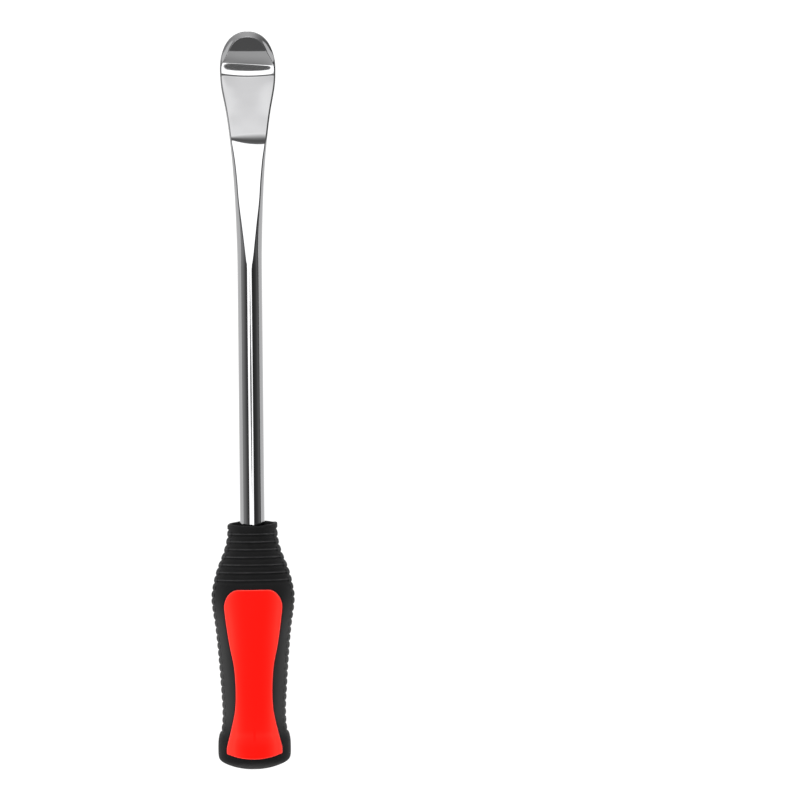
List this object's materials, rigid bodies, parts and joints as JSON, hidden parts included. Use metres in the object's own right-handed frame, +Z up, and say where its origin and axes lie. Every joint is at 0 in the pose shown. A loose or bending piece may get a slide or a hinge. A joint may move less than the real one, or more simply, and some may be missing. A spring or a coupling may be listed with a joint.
{
  "type": "tyre lever",
  "caption": "Tyre lever: a chrome-plated steel bar ground flat into an upturned spoon tip, in a moulded hand grip of ribbed rubber with a panel on each face.",
  "frame": {"origin": "middle of the lever's length and width, on the surface that the lever lies on", "axes": "+Y along the shaft from the butt of the grip to the spoon tip, +Z up, out of the spoon's hollow and the front panel, +X across"},
  "size_m": [0.0414, 0.37, 0.0302],
  "materials": {
    "chrome_steel": "polished chrome plate on forged steel",
    "grip_rubber": "soft matt black moulded rubber",
    "grip_core_plastic": "dark moulded plastic",
    "panel_red": "satin red moulded plastic"
  },
  "bodies": {
    "root": {"spoon_lever": "chrome_steel", "grip_core": "grip_core_plastic", "rubber_sleeve": "grip_rubber", "front_panel": "panel_red", "rear_panel": "panel_red"}
  },
  "joints": []
}
